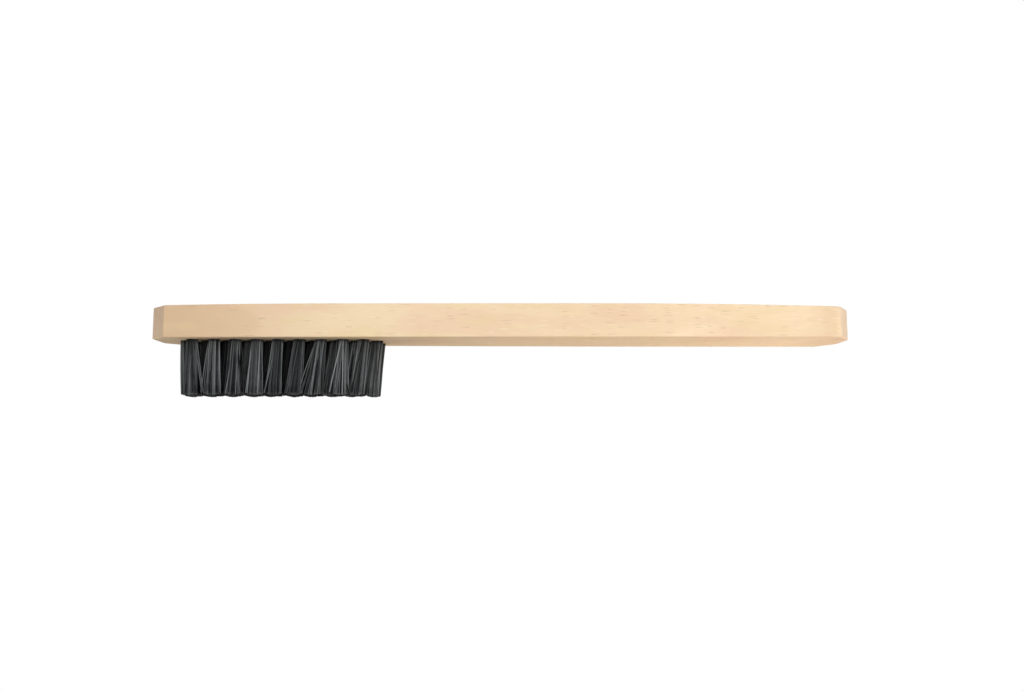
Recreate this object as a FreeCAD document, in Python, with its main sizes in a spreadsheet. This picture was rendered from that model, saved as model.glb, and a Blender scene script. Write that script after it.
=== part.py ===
import FreeCAD
import Part
import math
import os
import re
import Sketcher

# Hand brush: a straight beech block with four staggered rows of charcoal filament tufts.
# +X runs from the head to the grip, +Y from the front row to the back row, +Z from the tips to the
# back of the block. The origin is under the centre of the block, in the plane of the trimmed tips.

SIZES = {
    # block
    "block_length": 225.0,
    "block_thickness": 10.8,
    "head_half_width": 11.0,
    "middle_half_width": 13.5,
    "grip_half_width": 13.6,
    "head_cut_along": 5.2,
    "head_cut_across": 5.5,
    "grip_cut_along": 5.0,
    "grip_cut_across": 8.0,
    "head_fall": 0.55,
    "head_fall_length": 52.0,
    "grip_fall": 0.95,
    "grip_fall_length": 76.0,
    "head_corner_radius": 0.5,
    "grip_corner_radius": 3.0,
    "edge_radius": 0.4,
    # drilled holes
    "hole_diameter": 4.0,
    "hole_depth": 6.6,
    "drill_angle": 118.0,
    "hole_pitch": 6.9,
    "outer_hole_start": -99.7,
    "inner_hole_start": -102.7,
    "row_spacing": 3.8,
    "row_shift": 0.5,
    "short_row_count": 9,
    "long_row_count": 10,
    # tufts
    "trim_length": 17.85,
    "tuft_root_diameter": 3.94,
    "tuft_seat": 6.4,
    "tuft_bend_radius": 1.2,
    "tip_half_length": 2.8,
    "tip_half_width": 2.1,
    "tip_pitch": 6.62,
    # anchors
    "anchor_length": 4.9,
    "anchor_thickness": 0.35,
    "anchor_height": 1.5,
    "anchor_low": 3.5,
    "anchor_play": 0.01,
}

# Each row: name, how many row spacings from the middle, alias of its first hole, alias of its count.
ROWS = [
    ("front_row", -1.5, "outer_hole_start", "short_row_count"),
    ("second_row", -0.5, "inner_hole_start", "long_row_count"),
    ("third_row", 0.5, "outer_hole_start", "short_row_count"),
    ("back_row", 1.5, "inner_hole_start", "long_row_count"),
]

# Numbers by which a sketch knows its own two axes.
ACROSS_AXIS = -1
UP_AXIS = -2

os.makedirs("parts", exist_ok=True)
doc = FreeCAD.newDocument("hand_brush")


def make_sheet():
    sheet = doc.addObject("Spreadsheet::Sheet", "Sizes")
    for line, (alias, value) in enumerate(SIZES.items(), start=1):
        sheet.set("A%d" % line, alias)
        sheet.set("B%d" % line, str(value))
        sheet.setAlias("B%d" % line, alias)
    doc.recompute()
    return sheet


sheet = make_sheet()


def size(alias):
    return float(getattr(sheet, alias))


def sizes(text):
    """Turn every alias in an expression into a reference to the sheet."""
    return re.sub("[a-z_]+", lambda word: "Sizes." + word.group(), text)


def bind(obj, prop, text):
    obj.setExpression(prop, sizes(text))


def origin_plane(body, role):
    return next(item for item in body.Origin.OriginFeatures if item.Role == role)


def new_body(name):
    body = doc.addObject("PartDesign::Body", name)
    body.Label = name
    return body


def new_sketch(body, name, role, height=None):
    sketch = body.newObject("Sketcher::SketchObject", name)
    sketch.AttachmentSupport = [(origin_plane(body, role), "")]
    sketch.MapMode = "FlatFace"
    if height is not None:
        bind(sketch, "AttachmentOffset.Base.z", height)
    return sketch


def constrain(sketch, kind, *where, text=None, start=0.0):
    """Add one constraint; with text, its value follows an expression in the sheet's sizes."""
    values = where if text is None else where + (start,)
    index = sketch.addConstraint(Sketcher.Constraint(kind, *values))
    if text is not None:
        sketch.setExpression("Constraints[%d]" % index, sizes(text))
    return index


def pin_point(sketch, geometry, vertex, across, up):
    """Hold one vertex at a position given by two (expression, current value) pairs."""
    constrain(sketch, "DistanceX", geometry, vertex, text=across[0], start=across[1])
    constrain(sketch, "DistanceY", geometry, vertex, text=up[0], start=up[1])


def add_line(sketch, first, second):
    return sketch.addGeometry(Part.LineSegment(vector(first), vector(second)), False)


def vector(point):
    return FreeCAD.Vector(point[0], point[1], 0)


def outline_corners():
    """Corners on the far side of the plan outline, as (x text, x, y text, y), head end first."""
    half = size("block_length") / 2
    head_end = size("head_half_width") - size("head_cut_across")
    grip_end = size("grip_half_width") - size("grip_cut_across")
    head_x = "-block_length / 2"
    grip_x = "block_length / 2"
    return [
        (head_x, -half, "head_half_width - head_cut_across", head_end),
        (head_x + " + head_cut_along", -half + size("head_cut_along"),
         "head_half_width", size("head_half_width")),
        (grip_x + " - grip_cut_along", half - size("grip_cut_along"),
         "grip_half_width", size("grip_half_width")),
        (grip_x, half, "grip_half_width - grip_cut_across", grip_end),
    ]


def flank(sketch, first, last, side):
    """A long shallow arc through the block's half width at its middle."""
    middle = (0.0, side * size("middle_half_width"))
    arc = Part.Arc(vector(first), vector(middle), vector(last))
    index = sketch.addGeometry(arc, False)
    point = sketch.addGeometry(Part.Point(vector(middle)), True)
    constrain(sketch, "PointOnObject", point, 1, UP_AXIS)
    constrain(sketch, "DistanceY", point, 1, text="%d * middle_half_width" % side, start=middle[1])
    constrain(sketch, "PointOnObject", point, 1, index)
    return index


def ends_of(sketch, index, first):
    """The vertex numbers (at first, away from it) of a curve whose direction may be reversed."""
    start = sketch.getPoint(index, 1)
    near_start = math.hypot(start.x - first[0], start.y - first[1]) < 1e-3
    return (1, 2) if near_start else (2, 1)


def plan_outline(body):
    sketch = new_sketch(body, "block_outline", "XY_Plane")
    far = outline_corners()
    near = [(tx, x, "-(%s)" % ty, -y) for tx, x, ty, y in reversed(far)]
    corners = far + near
    count = len(corners)
    curves = []
    for number, corner in enumerate(corners):
        following = corners[(number + 1) % count]
        first = (corner[1], corner[3])
        last = (following[1], following[3])
        if number in (1, 5):
            index = flank(sketch, first, last, 1 if number == 1 else -1)
        else:
            index = add_line(sketch, first, last)
        curves.append((index,) + ends_of(sketch, index, first))
    for number, corner in enumerate(corners):
        index, start, end = curves[number]
        following, next_start, _ = curves[(number + 1) % count]
        constrain(sketch, "Coincident", index, end, following, next_start)
        pin_point(sketch, index, start, (corner[0], corner[1]), (corner[2], corner[3]))
    return sketch


def fall_region(sketch, side, end_name):
    """The sliver above the back near one end, under which the back falls away in a shallow arc."""
    half = size("block_length") / 2
    top = size("block_thickness")
    fall = size(end_name + "_fall")
    length = size(end_name + "_fall_length")
    radius = (length ** 2 + fall ** 2) / (2 * fall)
    land = (side * (half - length), top)
    low = (side * half, top - fall)
    mid_angle = 0.5 * math.asin(length / radius)
    middle = (land[0] + side * radius * math.sin(mid_angle), top - radius * (1 - math.cos(mid_angle)))
    arc = sketch.addGeometry(Part.Arc(vector(land), vector(middle), vector(low)), False)
    land_end, low_end = ends_of(sketch, arc, land)
    out = (side * (half + 1), top - fall)
    out_top = (side * (half + 1), top + 1)
    land_top = (land[0], top + 1)
    points = [low, out, out_top, land_top, land]
    lines = [add_line(sketch, a, b) for a, b in zip(points, points[1:])]
    for first, second in zip(lines, lines[1:]):
        constrain(sketch, "Coincident", first, 2, second, 1)
    constrain(sketch, "Coincident", arc, low_end, lines[0], 1)
    constrain(sketch, "Coincident", lines[3], 2, arc, land_end)
    constrain(sketch, "Vertical", arc, 3, arc, land_end)
    sign = "" if side > 0 else "-"
    land_text = "%s(block_length / 2 - %s_fall_length)" % (sign, end_name)
    low_text = "block_thickness - %s_fall" % end_name
    pin_point(sketch, arc, land_end, (land_text, land[0]), ("block_thickness", top))
    pin_point(sketch, arc, low_end, ("%s(block_length / 2)" % sign, low[0]), (low_text, low[1]))
    pin_point(sketch, lines[1], 1, ("%s(block_length / 2 + 1)" % sign, out[0]), (low_text, out[1]))
    pin_point(sketch, lines[2], 1, ("%s(block_length / 2 + 1)" % sign, out_top[0]),
              ("block_thickness + 1", out_top[1]))
    pin_point(sketch, lines[3], 1, (land_text, land_top[0]), ("block_thickness + 1", land_top[1]))


def cut_falls(body):
    sketch = new_sketch(body, "back_falls", "XZ_Plane")
    fall_region(sketch, -1, "head")
    fall_region(sketch, 1, "grip")
    pocket = body.newObject("PartDesign::Pocket", "back_fall_cut")
    pocket.Profile = sketch
    pocket.Midplane = True
    pocket.Type = "ThroughAll"
    doc.recompute()


def is_upright(edge):
    if len(edge.Vertexes) != 2:
        return False
    first, second = (vertex.Point for vertex in edge.Vertexes)
    return abs(first.x - second.x) < 1e-4 and abs(first.y - second.y) < 1e-4


def round_edges(body, name, radius, wanted):
    base = body.Tip
    names = ["Edge%d" % number for number, edge in enumerate(base.Shape.Edges, start=1) if wanted(edge)]
    fillet = body.newObject("PartDesign::Fillet", name)
    fillet.Base = (base, names)
    bind(fillet, "Radius", radius)
    doc.recompute()
    return fillet


def hole_sketch(body, name, start_alias, rows):
    sketch = new_sketch(body, name, "XY_Plane")
    for offset in rows:
        x = size(start_alias)
        y = size("row_shift") + offset * size("row_spacing")
        circle = Part.Circle(vector((x, y)), FreeCAD.Vector(0, 0, 1), size("hole_diameter") / 2)
        index = sketch.addGeometry(circle, False)
        pin_point(sketch, index, 3, (start_alias, x), ("row_shift + %s * row_spacing" % offset, y))
        constrain(sketch, "Diameter", index, text="hole_diameter", start=size("hole_diameter"))
    return sketch


def add_box_outline(sketch, left, right, low, high):
    """A rectangle whose four sides are (expression, value) pairs."""
    corners = [(left, low), (right, low), (right, high), (left, high)]
    points = [(x[1], y[1]) for x, y in corners]
    lines = [add_line(sketch, points[i], points[(i + 1) % 4]) for i in range(4)]
    for number, line in enumerate(lines):
        constrain(sketch, "Coincident", line, 2, lines[(number + 1) % 4], 1)
        pin_point(sketch, line, 1, corners[number][0], corners[number][1])


def track_sketch(body, name, start_alias, rows):
    """Plan of the grooves that the anchor's ends cut down the sides of each hole."""
    sketch = new_sketch(body, name, "XY_Plane")
    half_x = size("anchor_thickness") / 2 + size("anchor_play")
    half_y = size("anchor_length") / 2 + size("anchor_play")
    wide = "(anchor_thickness / 2 + anchor_play)"
    deep = "(anchor_length / 2 + anchor_play)"
    for offset in rows:
        x = size(start_alias)
        y = size("row_shift") + offset * size("row_spacing")
        row = "row_shift + %s * row_spacing" % offset
        add_box_outline(sketch,
                        ("%s - %s" % (start_alias, wide), x - half_x),
                        ("%s + %s" % (start_alias, wide), x + half_x),
                        ("%s - %s" % (row, deep), y - half_y),
                        ("%s + %s" % (row, deep), y + half_y))
    return sketch


def drill_rows(body, name, start_alias, count_alias, rows):
    """Drill the first hole of some rows, cut its anchor grooves, and repeat both along the block."""
    circles = hole_sketch(body, name + "_centres", start_alias, rows)
    doc.recompute()
    hole = body.newObject("PartDesign::Hole", name + "_holes")
    hole.Profile = circles
    hole.ThreadType = "None"
    hole.DepthType = "Dimension"
    hole.DrillPoint = "Angled"
    hole.Reversed = True
    bind(hole, "Diameter", "hole_diameter")
    bind(hole, "Depth", "hole_depth")
    bind(hole, "DrillPointAngle", "drill_angle")
    doc.recompute()
    tracks = track_sketch(body, name + "_track_plan", start_alias, rows)
    track = body.newObject("PartDesign::Pocket", name + "_tracks")
    track.Profile = tracks
    track.Type = "Length"
    track.Reversed = True
    bind(track, "Length", "anchor_low + anchor_height + anchor_play")
    doc.recompute()
    pattern = body.newObject("PartDesign::LinearPattern", name + "_pattern")
    pattern.Originals = [hole, track]
    pattern.Direction = (circles, ["H_Axis"])
    bind(pattern, "Length", "(%s - 1) * hole_pitch" % count_alias)
    bind(pattern, "Occurrences", count_alias)
    body.Tip = pattern
    doc.recompute()


def make_block():
    body = new_body("handle_block")
    pad = body.newObject("PartDesign::Pad", "block_pad")
    pad.Profile = plan_outline(body)
    bind(pad, "Length", "block_thickness")
    doc.recompute()
    cut_falls(body)
    half = size("block_length") / 2
    reach = max(size("head_cut_along"), size("grip_cut_along")) + 1
    round_edges(body, "grip_corners", "grip_corner_radius",
                lambda edge: is_upright(edge) and edge.CenterOfMass.x > half - reach)
    round_edges(body, "head_corners", "head_corner_radius",
                lambda edge: is_upright(edge) and edge.CenterOfMass.x < -half + reach)
    round_edges(body, "long_edges", "edge_radius",
                lambda edge: edge.Length > 1 and not is_upright(edge) and not crosses(edge))
    drill_rows(body, "outer", "outer_hole_start", "short_row_count", (-1.5, 0.5))
    drill_rows(body, "inner", "inner_hole_start", "long_row_count", (-0.5, 1.5))
    bind(body, "Placement.Base.z", "trim_length")
    return body


def crosses(edge):
    """True for the seams across the back, where its flat land meets the two falls."""
    box = edge.BoundBox
    inside = abs(box.Center.x) < size("block_length") / 2 - 1
    return inside and box.YLength > size("head_half_width") and box.XLength < 1e-3


def make_tuft(row, offset, start_alias, number):
    """One tuft: a round seat folded over its anchor in the hole, fanning out below to an oval tip."""
    body = new_body("tuft_%s_%d" % (row, number + 1))
    label = body.Label
    root = new_sketch(body, label + "_root", "XY_Plane")
    origin = vector((0, 0))
    up = FreeCAD.Vector(0, 0, 1)
    circle = root.addGeometry(Part.Circle(origin, up, size("tuft_root_diameter") / 2), False)
    constrain(root, "Coincident", circle, 3, -1, 1)
    constrain(root, "Diameter", circle, text="tuft_root_diameter", start=size("tuft_root_diameter"))
    seat = body.newObject("PartDesign::Pad", label + "_seat")
    seat.Profile = root
    bind(seat, "Length", "tuft_seat")
    doc.recompute()
    bend = body.newObject("PartDesign::Fillet", label + "_bend")
    bend.Base = (seat, [top_edge(seat.Shape)])
    bind(bend, "Radius", "tuft_bend_radius")
    tip = tip_sketch(body, label, number)
    fan = body.newObject("PartDesign::AdditiveLoft", label + "_fan")
    fan.Profile = root
    fan.Sections = [tip]
    fan.Ruled = True
    slot = body.newObject("PartDesign::Pocket", label + "_slot")
    slot.Profile = slot_sketch(body, label)
    slot.Midplane = True
    slot.Type = "ThroughAll"
    bind(body, "Placement.Base.x", "%s + %d * hole_pitch" % (start_alias, number))
    bind(body, "Placement.Base.y", "row_shift + %s * row_spacing" % offset)
    bind(body, "Placement.Base.z", "trim_length")
    return body


def top_edge(shape):
    heights = [edge.CenterOfMass.z if edge.Closed else -1.0 for edge in shape.Edges]
    return "Edge%d" % (heights.index(max(heights)) + 1)


def tip_sketch(body, label, number):
    """The oval of the trimmed tips; each tuft leans a little more towards the head than the last."""
    sketch = new_sketch(body, label + "_tip", "XY_Plane", "-trim_length")
    lean = number * (size("tip_pitch") - size("hole_pitch"))
    major = size("tip_half_length")
    minor = size("tip_half_width")
    oval = Part.Ellipse(vector((lean + major, 0)), vector((lean, minor)), vector((lean, 0)))
    index = sketch.addGeometry(oval, False)
    constrain(sketch, "PointOnObject", index, 3, ACROSS_AXIS)
    constrain(sketch, "DistanceX", index, 3, text="%d * (tip_pitch - hole_pitch)" % number, start=lean)
    sketch.exposeInternalGeometry(index)
    long_axis, short_axis = index + 1, index + 2
    constrain(sketch, "Horizontal", long_axis)
    constrain(sketch, "DistanceX", long_axis, *left_to_right(sketch, long_axis),
              text="2 * tip_half_length", start=2 * major)
    constrain(sketch, "DistanceY", short_axis, *low_to_high(sketch, short_axis),
              text="2 * tip_half_width", start=2 * minor)
    return sketch


def left_to_right(sketch, line):
    first = sketch.getPoint(line, 1)
    second = sketch.getPoint(line, 2)
    return (1, line, 2) if first.x < second.x else (2, line, 1)


def low_to_high(sketch, line):
    first = sketch.getPoint(line, 1)
    second = sketch.getPoint(line, 2)
    return (1, line, 2) if first.y < second.y else (2, line, 1)


def slot_sketch(body, label):
    """Section of the fold's eye, where the anchor passes through the seat."""
    sketch = new_sketch(body, label + "_eye", "XZ_Plane")
    half = size("anchor_thickness") / 2 + size("anchor_play")
    low = size("anchor_low") - size("anchor_play")
    high = size("anchor_low") + size("anchor_height") + size("anchor_play")
    wide = "(anchor_thickness / 2 + anchor_play)"
    add_box_outline(sketch, ("-" + wide, -half), (wide, half),
                    ("anchor_low - anchor_play", low),
                    ("anchor_low + anchor_height + anchor_play", high))
    return sketch


def make_anchors(row, offset, start_alias, count_alias):
    """The flat wire anchors of one row, as a group of separate solids."""
    anchors = []
    for number in range(int(size(count_alias))):
        anchor = doc.addObject("Part::Box", "anchor_%s_%d" % (row, number + 1))
        bind(anchor, "Length", "anchor_thickness")
        bind(anchor, "Width", "anchor_length")
        bind(anchor, "Height", "anchor_height")
        bind(anchor, "Placement.Base.x",
             "%s + %d * hole_pitch - anchor_thickness / 2" % (start_alias, number))
        bind(anchor, "Placement.Base.y",
             "row_shift + %s * row_spacing - anchor_length / 2" % offset)
        bind(anchor, "Placement.Base.z", "trim_length + anchor_low")
        anchors.append(anchor)
    group = doc.addObject("Part::Compound", "anchors_" + row)
    group.Label = "anchors_" + row
    group.Links = anchors
    return group


def make_rows():
    nodes = []
    for row, offset, start_alias, count_alias in ROWS:
        for number in range(int(size(count_alias))):
            nodes.append(make_tuft(row, offset, start_alias, number))
        nodes.append(make_anchors(row, offset, start_alias, count_alias))
    return nodes


def check_document():
    for item in doc.Objects:
        if "Invalid" in item.State or "Error" in item.State:
            raise RuntimeError("%s is in state %s" % (item.Name, item.State))


def check_shape(node, solids):
    shape = node.Shape
    if shape.isNull() or not shape.isValid():
        raise RuntimeError("%s has no valid shape" % node.Label)
    if len(shape.Solids) != solids:
        raise RuntimeError("%s has %d solids, not %d" % (node.Label, len(shape.Solids), solids))


def check_drilling(block):
    """The block has to lose at least the plain cylinder of every hole."""
    holes = 2 * (size("short_row_count") + size("long_row_count"))
    cylinder = math.pi * size("hole_diameter") ** 2 / 4 * size("hole_depth")
    undrilled = doc.getObject("long_edges").Shape.Volume
    lost = undrilled - block.Shape.Volume
    if not holes * cylinder < lost < 1.3 * holes * cylinder:
        raise RuntimeError("drilling removed %.1f mm3" % lost)


block = make_block()
nodes = [block] + make_rows()
doc.recompute()
check_document()
check_drilling(block)
for node in nodes:
    group = node.TypeId == "Part::Compound"
    check_shape(node, len(node.Links) if group else 1)
for node in nodes:
    node.Shape.exportStep("parts/%s.step" % node.Label)
print("wrote %d nodes" % len(nodes))
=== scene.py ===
import math

import bpy
import numpy as np
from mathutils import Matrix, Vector


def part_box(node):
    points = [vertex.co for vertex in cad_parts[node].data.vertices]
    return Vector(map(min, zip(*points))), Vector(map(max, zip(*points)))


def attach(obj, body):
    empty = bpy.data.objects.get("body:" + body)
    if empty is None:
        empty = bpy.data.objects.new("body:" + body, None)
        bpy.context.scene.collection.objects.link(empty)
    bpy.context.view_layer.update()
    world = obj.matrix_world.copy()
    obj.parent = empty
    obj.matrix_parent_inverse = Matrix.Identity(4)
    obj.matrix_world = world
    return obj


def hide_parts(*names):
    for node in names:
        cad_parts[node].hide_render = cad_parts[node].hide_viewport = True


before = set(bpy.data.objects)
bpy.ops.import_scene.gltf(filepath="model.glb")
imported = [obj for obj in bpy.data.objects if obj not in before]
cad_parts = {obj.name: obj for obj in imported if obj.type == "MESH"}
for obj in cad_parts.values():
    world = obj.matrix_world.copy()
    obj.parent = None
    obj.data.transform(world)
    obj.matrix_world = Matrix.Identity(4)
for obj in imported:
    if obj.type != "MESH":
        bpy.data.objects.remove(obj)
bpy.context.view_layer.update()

# Wire brush: beech block, tufts of separate filaments folded over anchors, pale floor, soft light.
# Metres. +X from head to grip, +Y away from the camera, +Z from the tips to the back of the block.

MM = 0.001
SEED = 20

ROWS = {"front_row": 9, "second_row": 10, "third_row": 9, "back_row": 10}
BLOCK_LOW, BLOCK_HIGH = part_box("handle_block")
UNDERSIDE = BLOCK_LOW.z

# Beech: where the tree's heart lies in Y and Z, and the width of a year's growth
HEART = (0.13, 0.022)
RING_WIDTH = 2.1 * MM

# Filaments: each strand of a tuft is a round tube, folded inside its hole just above the anchor. The
# legs are packed with no gap for the anchor, so many run through it, hidden in the block.
FILAMENT_RADIUS = 0.185 * MM
RADIUS_SPREAD = (0.94, 1.04)
FILAMENT_SIDES = 8
PACKING_PITCH = 0.41 * MM
MOUTH_RADIUS = 1.80 * MM
FOLD_START = 5.0 * MM
FOLD_RISE = 0.25 * MM
FOLD_ROUNDNESS = 0.55
LEG_STATIONS = (0.0, 0.12, 0.3, 0.55, 0.8, 1.0)
SPREAD_CURVE = 0.95
BEND_STATIONS = 6
BOW = 0.11 * MM
SEAT_MARGIN = 0.1 * MM

# The tips: how the tufts lean, spread and scatter, and how the trimmed ends rise beside the middle.
# Leans, half widths and reaches without MM are in millimetres.
LEAN_PER_TUFT = -0.28
LEAN_SCATTER = 0.2
HALF_WIDTHS = (2.1, 2.7)
FLARE_ACROSS = (1.1, 1.25)
TIP_SCATTER = (0.32 * MM, 0.18 * MM)
ROW_SCATTER = 0.12 * MM
SPLAY_REACHES = (0.2, 1.0)
SPLAY_SHARE = 0.3
SPLAY_SPREAD = (0.3, 1.0)
STRAY_SHARE = 0.12
STRAY_REACH = 3.0
STRAY_REACH_OUTWARD = 1.8
STRAY_FLARE = 1.15
HEAD_END_REACH = 1.75 * MM
GRIP_END_REACH = 2.4 * MM
CROWN = 0.75 * MM
CROWN_HALF_WIDTH = 3.2 * MM
CROWN_LIMIT = 1.2 * MM
TRIM_SCATTER = 0.06 * MM

# Shades of the strands: the range of a tuft's lightest, and a curve that keeps most strands dark.
# Then how light the lightest strands of the two inner rows are, against 1 in the two outer rows and
# at both ends of each row: painted shade for the shadow inside the brush. Three inner tufts get
# painted light instead, lighter than their rows, where light falls between the front tufts.
LIGHTEST_STRAND = (0.82, 1.0)
SHADE_CURVE = 1.4
INNER_ROW_PAINTED_SHADE = {"second": 0.05, "third": 0.03}
# Painted light: these inner tufts are lighter than their row, where light falls between the front tufts
INNER_TUFTS_PAINTED_LIGHT = {"tuft_second_row_4": 0.35, "tuft_second_row_8": 0.4, "tuft_second_row_9": 0.9}

# How the tufts nearest the camera stand: lean and half width at the tips, then the side (-1 or 1) to
# which a bunch of strands splays, how far they reach, and the share of that side's strands in it.
STANCES = {
    "tuft_front_row_1": (0.3, 2.3, 1, 2.6, 0.35),
    "tuft_front_row_2": (0.0, 2.5, -1, 1.6, 0.35),
    "tuft_front_row_3": (-0.4, 2.4, 1, 3.0, 0.30),
    "tuft_front_row_4": (0.1, 2.4, 1, 0.4, 0.20),
    "tuft_front_row_5": (-0.8, 2.2, -1, 0.5, 0.20),
    "tuft_front_row_6": (-1.5, 2.4, -1, 1.2, 0.40),
    "tuft_front_row_7": (-1.6, 2.6, -1, 3.2, 0.60),
    "tuft_front_row_8": (-0.5, 2.3, 1, 1.4, 0.40),
    "tuft_front_row_9": (-2.2, 2.3, -1, 0.5, 0.20),
    "tuft_second_row_1": (0.9, 2.0, 1, 0.4, 0.20),
    "tuft_second_row_10": (-1.8, 2.3, 1, 0.2, 0.20),
    "tuft_back_row_10": (-1.9, 2.3, 1, 0.2, 0.20),
}

# Camera
CAMERA_PLACE = (-0.34 * MM, -322.4 * MM, -20.05 * MM)
CAMERA_AIM = (0.0116, 0.9935, 0.1131)
CAMERA_LENS = 34.69

# Floor: where it fades out, the reach of the painted soft shadow around the brush and of the painted
# contact shadow under it, how much of its glow is left in each, and how much lamp light it takes
# there, less near the block as painted shade
FLOOR_HALF_WIDTH = 3.0
FLOOR_FADE = (0.12, 0.50)
FLOOR_GLOW = 0.42
PAINTED_SHADOW_REACH = 70 * MM
PAINTED_SHADOW_GLOW = 0.80
PAINTED_CONTACT_SHADOW_REACH = 40 * MM
PAINTED_CONTACT_SHADOW_GLOW = 0.25
PAINTED_SHADE_ZONE = (-5 * MM, 45 * MM)
PAINTED_SHADE_ALBEDO = (0.24, 0.45)

# Light that comes from everywhere, then the lamps: name, place, target, width, power and tint
AMBIENT = 0.15
PLAIN = (1.0, 1.0, 1.0)
WARM = (1.0, 0.87, 0.79)
COOL = (0.94, 1.0, 1.08)
LAMPS = (
    ("key", (0.34, -0.48, 0.35), (0.03, 0, 0.02), 0.8, 1.12, PLAIN),
    ("front", (0.09, -0.55, 0.10), (0, 0, 0.02), 0.6, 1.88, PLAIN),
    ("low_fill", (0.17, 0.06, -0.12), (0.10, 0, 0.02), 0.08, 0.138, WARM),
    ("low_left", (-0.22, 0.02, -0.10), (-0.11, 0, 0.02), 0.08, 0.045, COOL),
    ("left_fill", (-0.50, -0.16, 0.12), (0, 0, 0.02), 0.25, 0.32, COOL),
    ("right_fill", (0.45, -0.20, 0.10), (0, 0, 0.02), 0.3, 0.76, COOL),
    ("back_fill", (-0.3, 0.5, 0.4), (0, 0, 0.02), 0.5, 1.35, PLAIN),
    ("top", (0.05, 0.18, 0.6), (0, 0, 0.02), 0.5, 1.2, PLAIN),
)

# ---------------------------------------------------------------- shader helpers


class Shader:
    """A node tree with short calls for adding nodes and joining their sockets."""

    def __init__(self, tree):
        self.tree = tree
        tree.nodes.clear()

    def node(self, kind, inputs=None, **settings):
        made = self.tree.nodes.new(kind)
        for name, value in settings.items():
            setattr(made, name, value)
        for socket, value in (inputs or {}).items():
            self.feed(made.inputs[socket], value)
        return made

    def feed(self, socket, value):
        if isinstance(value, bpy.types.NodeSocket):
            self.tree.links.new(value, socket)
        else:
            socket.default_value = value

    def math(self, operation, first, second=0.0):
        made = self.node("ShaderNodeMath", operation=operation)
        self.feed(made.inputs[0], first)
        self.feed(made.inputs[1], second)
        return made.outputs[0]

    def ramp(self, value, low, high, to_low=0.0, to_high=1.0):
        made = self.node("ShaderNodeMapRange", interpolation_type="SMOOTHSTEP")
        for index, item in enumerate((value, low, high, to_low, to_high)):
            self.feed(made.inputs[index], item)
        return made.outputs[0]

    def mix(self, factor, first, second):
        made = self.node("ShaderNodeMix", data_type="RGBA")
        self.feed(made.inputs["Factor"], factor)
        self.feed(made.inputs["A"], first)
        self.feed(made.inputs["B"], second)
        return made.outputs["Result"]

    def stretched(self, point, scale, offset=(0.0, 0.0, 0.0)):
        made = self.node("ShaderNodeMapping")
        self.feed(made.inputs["Vector"], point)
        made.inputs["Scale"].default_value = scale
        made.inputs["Location"].default_value = offset
        return made.outputs["Vector"]

    def noise(self, point, detail=2.0, roughness=0.5):
        made = self.node("ShaderNodeTexNoise", {"Vector": point, "Scale": 1.0, "Detail": detail,
                                               "Roughness": roughness})
        return made.outputs["Fac"]


def new_material(name):
    material = bpy.data.materials.new(name)
    material.use_nodes = True
    return material, Shader(material.node_tree)


def rgb(red, green, blue):
    return (red, green, blue, 1.0)


def finish_surface(shader, surface):
    shader.node("ShaderNodeOutputMaterial", {"Surface": surface})


# ---------------------------------------------------------------- materials

BEECH = {
    "head": rgb(0.72, 0.50, 0.31),
    "middle": rgb(0.92, 0.72, 0.475),
    "pink": rgb(0.86, 0.59, 0.41),
    "straw": rgb(0.84, 0.66, 0.37),
    "growth_line": rgb(0.68, 0.45, 0.26),
    "fibre": rgb(0.66, 0.46, 0.28),
    "dark_fleck": rgb(0.50, 0.30, 0.17),
    "light_fleck": rgb(0.95, 0.83, 0.63),
    "end_grain": rgb(0.74, 0.57, 0.45),
    "pore": rgb(0.46, 0.29, 0.18),
    "worn_edge": rgb(0.66, 0.46, 0.29),
}
DARK_FLECK_SIZE = (4.6 * MM, 0.5 * MM, 0.34 * MM)
LIGHT_FLECK_SIZE = (4.2 * MM, 0.6 * MM, 0.40 * MM)

CHARCOAL = {
    "darkest": rgb(0.005, 0.0057, 0.0063),
    "lightest": rgb(0.25, 0.265, 0.270),
    "scuffed": rgb(0.20, 0.210, 0.212),
    # Paler near the tips: partly wear, partly painted light
    "tip_wear_and_painted_light": rgb(0.30, 0.305, 0.30),
    "cut": rgb(0.42, 0.425, 0.42),
    # root: painted shade where the strands leave their holes
    "root": rgb(0.008, 0.008, 0.008),
}


def ray_flecks(shader, point, cell, share, offset):
    """Strength of short lens-shaped flecks, one in each chosen cell of a stretched grid, else 0."""
    wavy = shader.noise(shader.stretched(point, (900, 900, 900)), 1.0)
    nudge = shader.node("ShaderNodeCombineXYZ", {"X": shader.math("MULTIPLY", wavy, 0.6),
                                                 "Z": shader.math("MULTIPLY", wavy, 0.45)})
    scaled = shader.stretched(point, tuple(1.0 / side for side in cell), offset)
    moved = shader.node("ShaderNodeVectorMath", {0: scaled, 1: nudge.outputs[0]}, operation="ADD")
    cells = shader.node("ShaderNodeTexVoronoi", {"Vector": moved.outputs["Vector"], "Scale": 1.0,
                                                 "Randomness": 0.95}, feature="F1")
    pick = shader.node("ShaderNodeSeparateColor", {"Color": cells.outputs["Color"]})
    reach = shader.ramp(pick.outputs["Blue"], 0.0, 1.0, 0.28, 0.50)
    lens = shader.ramp(cells.outputs["Distance"], 0.18, reach, 1.0, 0.0)
    least = shader.math("SUBTRACT", 1.0, share)
    chosen = shader.math("GREATER_THAN", pick.outputs["Red"], least)
    strength = shader.ramp(pick.outputs["Green"], 0.0, 1.0, 0.35, 1.0)
    return shader.math("MULTIPLY", shader.math("MULTIPLY", lens, chosen), strength)


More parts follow.
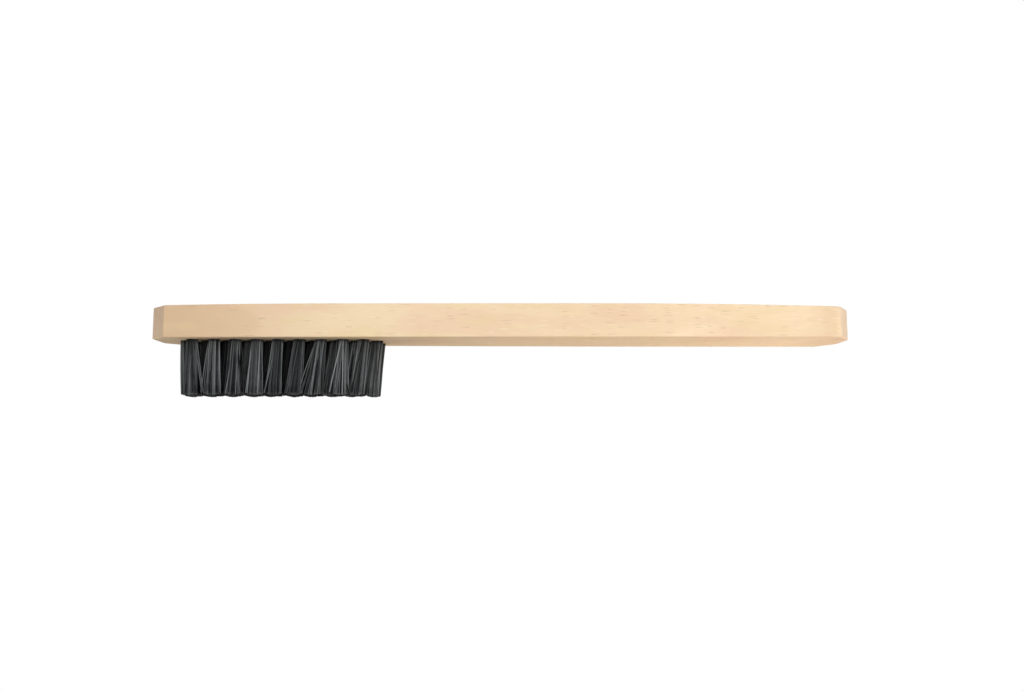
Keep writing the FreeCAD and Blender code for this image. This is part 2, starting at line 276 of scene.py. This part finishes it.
def growth_rings(shader, point):
    """Thin darker lines where a year's growth ends, around a heart far behind the block."""
    wander = shader.noise(shader.stretched(point, (14, 40, 40)), 2.0)
    axes = shader.node("ShaderNodeSeparateXYZ", {"Vector": point})
    across = shader.math("SUBTRACT", axes.outputs["Y"], HEART[0])
    up = shader.math("SUBTRACT", axes.outputs["Z"], HEART[1])
    squares = shader.math("ADD", shader.math("POWER", across, 2.0), shader.math("POWER", up, 2.0))
    years = shader.math("DIVIDE", shader.math("SQRT", squares), RING_WIDTH)
    year = shader.math("FRACT", shader.math("ADD", years, shader.math("MULTIPLY", wander, 0.8)))
    return shader.math("MULTIPLY", shader.ramp(year, 0.45, 0.93), shader.ramp(year, 0.93, 1.0, 1.0, 0.0))


def worn_edges(shader, point):
    """1 on the worn edges, broken up along their length, and 0 on the flats."""
    true_normal = shader.node("ShaderNodeNewGeometry").outputs["Normal"]
    rounded = shader.node("ShaderNodeBevel", {"Radius": 0.7 * MM}, samples=6).outputs["Normal"]
    match = shader.node("ShaderNodeVectorMath", {0: true_normal, 1: rounded}, operation="DOT_PRODUCT")
    edge = shader.ramp(match.outputs["Value"], 0.90, 0.995, 1.0, 0.0)
    patches = shader.noise(shader.stretched(point, (160, 700, 700)), 3.0, 0.6)
    return shader.math("MULTIPLY", edge, shader.ramp(patches, 0.3, 0.65))


def beech():
    """Sanded beech: painted shade towards the head, flecked on its sides, with growth lines and end grain.
    """
    material, shader = new_material("beech_sanded")
    place = shader.node("ShaderNodeTexCoord").outputs["Object"]
    facing = shader.node("ShaderNodeNewGeometry").outputs["Normal"]
    facing_x = shader.node("ShaderNodeSeparateXYZ", {"Vector": facing}).outputs["X"]
    end_grain = shader.ramp(shader.math("ABSOLUTE", facing_x), 0.25, 0.85)

    along = shader.node("ShaderNodeSeparateXYZ", {"Vector": place}).outputs["X"]
    # Painted shade: the wood darkens from the middle towards the head, and again over the last 18 mm of the
    # grip end
    painted_shade_lengthwise = shader.math("MULTIPLY", shader.ramp(along, -0.113, -0.050),
                       shader.ramp(along, 0.094, 0.112, 1.0, 0.15))
    many = shader.ramp(along, -0.06, 0.05, 0.09, 0.34)
    drift = shader.noise(shader.stretched(place, (26, 90, 90)), 3.0, 0.6)
    warm = shader.noise(shader.stretched(place, (40, 130, 130), (4.0, 9.0, 2.0)), 2.0, 0.6)
    rings = growth_rings(shader, place)
    edges = worn_edges(shader, place)
    fibres = shader.noise(shader.stretched(place, (260, 5200, 5200)), 3.0, 0.6)
    colour = shader.mix(painted_shade_lengthwise, BEECH["head"], BEECH["middle"])
    colour = shader.mix(shader.ramp(drift, 0.45, 0.62, 0.0, 0.6), colour, BEECH["pink"])
    colour = shader.mix(shader.ramp(warm, 0.5, 0.66, 0.0, 0.5), colour, BEECH["straw"])
    ring_strength = shader.ramp(end_grain, 0.0, 1.0, 0.25, 0.6)
    colour = shader.mix(shader.math("MULTIPLY", rings, ring_strength), colour, BEECH["growth_line"])
    colour = shader.mix(shader.ramp(fibres, 0.3, 0.75, 0.0, 0.15), colour, BEECH["fibre"])
    dark = ray_flecks(shader, place, DARK_FLECK_SIZE, many, (3.1, 0.4, 7.7))
    colour = shader.mix(shader.math("MULTIPLY", dark, 0.5), colour, BEECH["dark_fleck"])
    some = shader.ramp(along, -0.09, 0.04, 0.0, 0.34)
    light = ray_flecks(shader, place, LIGHT_FLECK_SIZE, some, (11.3, 5.4, 1.7))
    colour = shader.mix(shader.math("MULTIPLY", light, 0.45), colour, BEECH["light_fleck"])
    colour = shader.mix(shader.math("MULTIPLY", end_grain, 0.35), colour, BEECH["end_grain"])
    pores = shader.noise(shader.stretched(place, (900, 4200, 4200), (1.0, 2.0, 3.0)), 1.0)
    pores = shader.math("MULTIPLY", shader.ramp(pores, 0.62, 0.72), end_grain)
    colour = shader.mix(shader.math("MULTIPLY", pores, 0.55), colour, BEECH["pore"])
    colour = shader.mix(shader.math("MULTIPLY", edges, 0.30), colour, BEECH["worn_edge"])

    grain = shader.math("MULTIPLY_ADD", dark, -0.5)
    shader.feed(grain.node.inputs[2], fibres)
    bump = shader.node("ShaderNodeBump", {"Height": grain, "Strength": 0.35, "Distance": 0.05 * MM})
    roughness = shader.ramp(fibres, 0.2, 0.8, 0.52, 0.68)
    surface = shader.node("ShaderNodeBsdfPrincipled", {
        "Base Color": colour, "Roughness": roughness, "Normal": bump.outputs["Normal"],
        "Specular IOR Level": 0.35})
    finish_surface(shader, surface.outputs["BSDF"])
    return material


def charcoal():
    """Satin charcoal filament, a shade for each strand, painted shade at the root, pale at the cut."""
    material, shader = new_material("charcoal_filament")
    # Each strand's tone, darkened by painted shade in the inner rows and lightened by painted light in
    # three of their tufts
    shade = shader.node("ShaderNodeAttribute", attribute_name="strand").outputs["Fac"]
    place = shader.node("ShaderNodeTexCoord").outputs["Object"]
    facing = shader.node("ShaderNodeNewGeometry").outputs["Normal"]
    down = shader.node("ShaderNodeSeparateXYZ", {"Vector": facing}).outputs["Z"]
    cut_face = shader.ramp(down, -0.9, -0.7, 1.0, 0.0)
    scuffs = shader.noise(shader.stretched(place, (2600, 2600, 420)), 3.0, 0.6)
    # Scuffs fade on the darkest strands, so the painted shade of the inner rows stays dark
    scuffed = shader.math("MULTIPLY", shader.ramp(scuffs, 0.45, 0.8, 0.0, 0.4),
                          shader.ramp(shade, 0.0, 0.4))
    colour = shader.mix(shade, CHARCOAL["darkest"], CHARCOAL["lightest"])
    colour = shader.mix(scuffed, colour, CHARCOAL["scuffed"])
    height = shader.node("ShaderNodeSeparateXYZ", {"Vector": place}).outputs["Z"]
    # Paler patches on the lowest millimetre of the strands, just above the cut ends: partly wear, partly
    # painted light on tip sides that lie in shade
    tip_wear_and_painted_light = shader.noise(shader.stretched(place, (1800, 1800, 900), (7.0, 3.0, 5.0)), 2.0)
    tip_wear_and_painted_light = shader.math("MULTIPLY", shader.ramp(height, 0.1 * MM, 1.0 * MM, 1.0, 0.0),
                         shader.ramp(tip_wear_and_painted_light, 0.40, 0.62))
    colour = shader.mix(shader.math("MULTIPLY", tip_wear_and_painted_light, 0.5), colour, CHARCOAL["tip_wear_and_painted_light"])
    colour = shader.mix(shader.math("MULTIPLY", cut_face, 0.7), colour, CHARCOAL["cut"])
    # Painted shade: strands darken over the last millimetre below the block, where they leave their holes
    painted_root_shade = shader.ramp(height, UNDERSIDE - 1.3 * MM, UNDERSIDE - 0.1 * MM, 0.0, 0.8)
    colour = shader.mix(painted_root_shade, colour, CHARCOAL["root"])
    bump = shader.node("ShaderNodeBump", {"Height": scuffs, "Strength": 0.25, "Distance": 0.03 * MM})
    roughness = shader.ramp(scuffs, 0.25, 0.75, 0.38, 0.6)
    surface = shader.node("ShaderNodeBsdfPrincipled", {
        "Base Color": colour, "Roughness": roughness, "Normal": bump.outputs["Normal"],
        "Specular IOR Level": 0.18})
    finish_surface(shader, surface.outputs["BSDF"])
    return material


def drawn_wire():
    """Drawn steel wire with fine lines along it."""
    material, shader = new_material("drawn_wire")
    place = shader.node("ShaderNodeTexCoord").outputs["Object"]
    lines = shader.noise(shader.stretched(place, (9000, 300, 9000)), 2.0)
    colour = shader.mix(lines, rgb(0.42, 0.42, 0.40), rgb(0.62, 0.62, 0.60))
    bump = shader.node("ShaderNodeBump", {"Height": lines, "Strength": 0.2, "Distance": 0.02 * MM})
    surface = shader.node("ShaderNodeBsdfPrincipled", {
        "Base Color": colour, "Metallic": 1.0, "Roughness": 0.35, "Normal": bump.outputs["Normal"]})
    finish_surface(shader, surface.outputs["BSDF"])
    return material


# ---------------------------------------------------------------- filaments


def seat_centre(node):
    """Centre of a tuft where it leaves the block, from the part of its CAD mesh inside the hole."""
    count = len(node.data.vertices)
    points = np.empty(count * 3)
    node.data.vertices.foreach_get("co", points)
    points = points.reshape(-1, 3)
    inside = points[points[:, 2] > UNDERSIDE + SEAT_MARGIN]
    return (inside.min(0) + inside.max(0)) / 2


def packed_points(draw):
    """Centres of round strands packed in a hole's mouth, an even number of them, sorted by x."""
    turn = draw.uniform(0, math.pi)
    shift = draw.uniform(-0.5, 0.5, 2) * PACKING_PITCH
    steps = 8
    points = []
    for row in range(-steps, steps + 1):
        for column in range(-steps, steps + 1):
            x = (column + 0.5 * (row % 2)) * PACKING_PITCH + shift[0]
            y = row * PACKING_PITCH * math.sqrt(3) / 2 + shift[1]
            if math.hypot(x, y) < MOUTH_RADIUS:
                points.append((x * math.cos(turn) - y * math.sin(turn),
                               x * math.sin(turn) + y * math.cos(turn)))
    points.sort()
    if len(points) % 2:
        points.pop(len(points) // 2)
    return np.array(points)


def strand_path(left, right, tips, heights, bows):
    """Centre line of one folded strand: up one leg, across above the anchor, and down the other leg."""
    path = []
    for root, tip, height, bow in zip((left, right), tips, heights, bows):
        leg = []
        for share in LEG_STATIONS:
            spread = share ** SPREAD_CURVE
            wave = math.sin(math.pi * share)
            x = root[0] + (tip[0] - root[0]) * spread + bow[0] * wave
            y = root[1] + (tip[1] - root[1]) * spread + bow[1] * wave
            z = UNDERSIDE + (height - UNDERSIDE) * share
            leg.append((x, y, z))
        path.append(leg)
    first = list(reversed(path[0]))
    half = (right[0] - left[0]) / 2
    middle = (right[0] + left[0]) / 2
    rise = FOLD_RISE + FOLD_ROUNDNESS * half
    bend = []
    for step in range(BEND_STATIONS + 1):
        share = step / BEND_STATIONS
        angle = math.pi * (1 - share)
        bend.append((middle + half * math.cos(angle), left[1] + (right[1] - left[1]) * share,
                     UNDERSIDE + FOLD_START + rise * math.sin(angle)))
    return np.array(first + bend + path[1])


def tube(path, radius, sides):
    """Vertices, side faces and flat ends of a round tube along a path that never runs along Y."""
    ahead = np.gradient(path, axis=0)
    ahead /= np.linalg.norm(ahead, axis=1)[:, None]
    side = np.cross(ahead, (0.0, 1.0, 0.0))
    side /= np.linalg.norm(side, axis=1)[:, None]
    other = np.cross(ahead, side)
    turns = np.arange(sides) * 2 * math.pi / sides
    rings = (path[:, None, :] + radius * (np.cos(turns)[None, :, None] * side[:, None, :]
                                          + np.sin(turns)[None, :, None] * other[:, None, :]))
    faces = []
    for ring in range(len(path) - 1):
        low, high = ring * sides, (ring + 1) * sides
        for corner in range(sides):
            following = (corner + 1) % sides
            faces.append((low + corner, low + following, high + following, high + corner))
    last = (len(path) - 1) * sides
    ends = [tuple(range(sides - 1, -1, -1)), tuple(last + corner for corner in range(sides))]
    return rings.reshape(-1, 3), faces, ends


def tip_positions(name, number, last, roots, draw):
    """Where the strands of one tuft end, around the tuft's own centre.

    A few strays stand apart, and a bunch on one side splays further out. The first and the last
    tuft of a row keep within the reach of their own end.
    """
    stance = (LEAN_PER_TUFT * number + draw.normal(0, LEAN_SCATTER), draw.uniform(*HALF_WIDTHS),
              draw.choice((-1, 1)), draw.uniform(*SPLAY_REACHES), SPLAY_SHARE)
    lean, reach, side, far, share = STANCES.get(name, stance)
    tips = roots * (reach * MM / MOUTH_RADIUS, draw.uniform(*FLARE_ACROSS))
    tips += draw.normal(0.0, 1.0, roots.shape) * TIP_SCATTER
    lowest = -(STRAY_REACH_OUTWARD if number == 0 else STRAY_REACH)
    highest = STRAY_REACH_OUTWARD if number == last else STRAY_REACH
    strays = draw.random(len(roots)) < STRAY_SHARE
    tips[strays, 0] = draw.uniform(lowest, highest, strays.sum()) * MM
    tips[strays, 1] *= STRAY_FLARE
    bunch = (roots[:, 0] * side > 0) & (draw.random(len(roots)) < share)
    tips[bunch, 0] += side * far * draw.uniform(*SPLAY_SPREAD, bunch.sum()) * MM
    if number == 0:
        tips[:, 0] = np.maximum(tips[:, 0], -HEAD_END_REACH)
    if number == last:
        tips[:, 0] = np.minimum(tips[:, 0], GRIP_END_REACH)
    return tips + (lean * MM, draw.normal(0, ROW_SCATTER))


def tip_heights(tips, draw):
    """The trimmed ends: lowest in the tuft's middle and a little higher beside it."""
    crown = CROWN * (np.abs(tips[:, 0] - tips[:, 0].mean()) / CROWN_HALF_WIDTH) ** 2
    return np.minimum(crown, CROWN_LIMIT) + np.abs(draw.normal(0, TRIM_SCATTER, len(tips)))


def make_tuft(name, number, last, material, draw):
    """One tuft of separate filaments, with a shade for each, painted darker in the inner rows, in place of
    the tuft's CAD solid.
    """
    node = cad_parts[name]
    centre = seat_centre(node)
    roots = packed_points(draw)
    half = len(roots) // 2
    tips = tip_positions(name, number, last, roots, draw)
    heights = tip_heights(tips, draw)
    roots = roots + centre[:2]
    tips = tips + centre[:2]
    left = np.argsort(roots[:half, 1])
    right = half + np.argsort(roots[half:, 1])
    row = name.split("_")[1]
    # Painted shade: inner rows are darker, except the first and last tuft of each row and the tufts with
    # painted light
    tuft_painted_shade = 1.0 if number in (0, last) else INNER_TUFTS_PAINTED_LIGHT.get(name, INNER_ROW_PAINTED_SHADE.get(row, 1.0))
    lightest = draw.uniform(*LIGHTEST_STRAND) * tuft_painted_shade
    vertices, faces, shades, smooth = [], [], [], []
    for first, second in zip(left, right):
        bows = draw.normal(0, BOW, (2, 2))
        path = strand_path(roots[first], roots[second], (tips[first], tips[second]),
                           (heights[first], heights[second]), bows)
        points, sides, ends = tube(path, FILAMENT_RADIUS * draw.uniform(*RADIUS_SPREAD), FILAMENT_SIDES)
        base = sum(len(block) for block in vertices)
        vertices.append(points)
        faces += [tuple(base + corner for corner in face) for face in sides + ends]
        smooth += [True] * len(sides) + [False] * len(ends)
        shades += [lightest * draw.random() ** SHADE_CURVE] * len(points)
    mesh = bpy.data.meshes.new(name + "_filaments")
    mesh.from_pydata(np.concatenate(vertices).tolist(), [], faces)
    mesh.polygons.foreach_set("use_smooth", smooth)
    # The strand attribute holds each strand's tone, with its tuft's painted shade and painted light in it
    mesh.attributes.new("strand", "FLOAT", "POINT").data.foreach_set("value", shades)
    mesh.materials.append(material)
    mesh.update()
    piece = bpy.data.objects.new(name + "_filaments", mesh)
    bpy.context.scene.collection.objects.link(piece)
    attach(piece, "root")
    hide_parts(name)


def make_tufts(material):
    draw = np.random.default_rng(SEED)
    for row, count in ROWS.items():
        for number in range(count):
            make_tuft("tuft_%s_%d" % (row, number + 1), number, count - 1, material, draw)


# ---------------------------------------------------------------- block and anchors


def dress_cad_nodes(wood, wire):
    for name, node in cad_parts.items():
        if name == "handle_block":
            node.data.materials[0] = wood
        if name.startswith("anchors"):
            node.data.materials[0] = wire


# ---------------------------------------------------------------- camera, floor, light


def make_camera():
    """Close in front and a little below the tips, looking slightly up."""
    data = bpy.data.cameras.new("camera")
    camera = bpy.data.objects.new("camera", data)
    bpy.context.scene.collection.objects.link(camera)
    data.sensor_width = 36.0
    data.lens = CAMERA_LENS
    camera.location = CAMERA_PLACE
    camera.rotation_mode = "QUATERNION"
    camera.rotation_quaternion = Vector(CAMERA_AIM).to_track_quat("-Z", "Y")
    data.clip_start = 0.01
    data.clip_end = 20.0
    bpy.context.scene.camera = camera


def distance_from_block(shader, point):
    """How far a point of the floor lies outside the block's outline, seen from above."""
    axes = shader.node("ShaderNodeSeparateXYZ", {"Vector": point})
    squares = []
    for axis, half in (("X", BLOCK_HIGH.x), ("Y", BLOCK_HIGH.y)):
        outside = shader.math("SUBTRACT", shader.math("ABSOLUTE", axes.outputs[axis]), half)
        squares.append(shader.math("POWER", shader.math("MAXIMUM", outside, 0.0), 2.0))
    return shader.math("SQRT", shader.math("ADD", squares[0], squares[1]))


def floor_material():
    """Pale from above, with a painted soft shadow near the brush, fading out into the white surroundings.

    From below it is clear, for the low camera and the low light.
    """
    material, shader = new_material("pale_floor")
    behind = shader.node("ShaderNodeNewGeometry").outputs["Backfacing"]
    path = shader.node("ShaderNodeLightPath")
    place = shader.node("ShaderNodeTexCoord").outputs["Object"]
    away = shader.node("ShaderNodeVectorMath", {0: place}, operation="LENGTH").outputs["Value"]
    near = shader.ramp(away, FLOOR_FADE[0], FLOOR_FADE[1], 1.0, 0.0)
    beside = distance_from_block(shader, place)
    # Painted shadow: the glow that the camera sees is dimmed near the block and, by occlusion, under the
    # brush
    glow_with_painted_shadow = shader.math("MULTIPLY", shader.ramp(near, 0.0, 1.0, 1.0, FLOOR_GLOW),
                       shader.ramp(beside, 0.0, PAINTED_SHADOW_REACH, PAINTED_SHADOW_GLOW, 1.0))
    open_sky = shader.node("ShaderNodeAmbientOcclusion", {"Distance": PAINTED_CONTACT_SHADOW_REACH}, samples=8)
    glow_with_painted_shadow = shader.math("MULTIPLY", glow_with_painted_shadow,
                       shader.ramp(open_sky.outputs["AO"], 0.0, 1.0, PAINTED_CONTACT_SHADOW_GLOW, 1.0))
    # Painted shade: near the block the floor takes less lamp light
    albedo_with_painted_shade = shader.ramp(beside, *PAINTED_SHADE_ZONE, *PAINTED_SHADE_ALBEDO)
    tone = shader.mix(near, rgb(0, 0, 0), shader.mix(albedo_with_painted_shade, rgb(0, 0, 0), rgb(1, 1, 1)))
    seen = shader.node("ShaderNodeBsdfDiffuse", {"Color": tone})
    lit = shader.node("ShaderNodeEmission", {"Color": rgb(1.0, 0.998, 0.992), "Strength": glow_with_painted_shadow})
    shown = shader.node("ShaderNodeAddShader", {0: seen.outputs[0], 1: lit.outputs[0]})
    matt = shader.node("ShaderNodeBsdfDiffuse", {"Color": rgb(0.72, 0.72, 0.71)})
    above = shader.node("ShaderNodeMixShader", {0: path.outputs["Is Camera Ray"], 1: matt.outputs[0],
                                                2: shown.outputs[0]})
    open_way = shader.math("MAXIMUM", behind, path.outputs["Is Shadow Ray"])
    clear = shader.node("ShaderNodeBsdfTransparent")
    both = shader.node("ShaderNodeMixShader", {0: open_way, 1: above.outputs[0], 2: clear.outputs[0]})
    finish_surface(shader, both.outputs[0])
    return material


def make_floor():
    half = FLOOR_HALF_WIDTH
    corners = [(-half, -half, 0), (half, -half, 0), (half, half, 0), (-half, half, 0)]
    mesh = bpy.data.meshes.new("floor")
    mesh.from_pydata(corners, [], [(0, 1, 2, 3)])
    mesh.materials.append(floor_material())
    floor = bpy.data.objects.new("floor", mesh)
    bpy.context.scene.collection.objects.link(floor)


def make_world():
    world = bpy.data.worlds.new("studio")
    bpy.context.scene.world = world
    world.use_nodes = True
    shader = Shader(world.node_tree)
    seen = shader.node("ShaderNodeLightPath").outputs["Is Camera Ray"]
    strength = shader.math("MULTIPLY_ADD", seen, 1.0 - AMBIENT)
    strength.node.inputs[2].default_value = AMBIENT
    back = shader.node("ShaderNodeBackground", {"Color": rgb(1, 1, 1), "Strength": strength})
    shader.node("ShaderNodeOutputWorld", {"Surface": back.outputs[0]})


def make_lamp(name, place, target, width, power, tint):
    data = bpy.data.lights.new(name, "AREA")
    data.shape = "DISK"
    data.size = width
    data.energy = power
    data.color = tint
    light = bpy.data.objects.new(name, data)
    bpy.context.scene.collection.objects.link(light)
    light.visible_camera = False
    light.location = place
    light.rotation_mode = "QUATERNION"
    light.rotation_quaternion = (Vector(target) - Vector(place)).to_track_quat("-Z", "Y")


dress_cad_nodes(beech(), drawn_wire())
make_tufts(charcoal())
make_floor()
make_world()
for lamp in LAMPS:
    make_lamp(*lamp)
make_camera()
bpy.context.scene.view_settings.view_transform = "Standard"
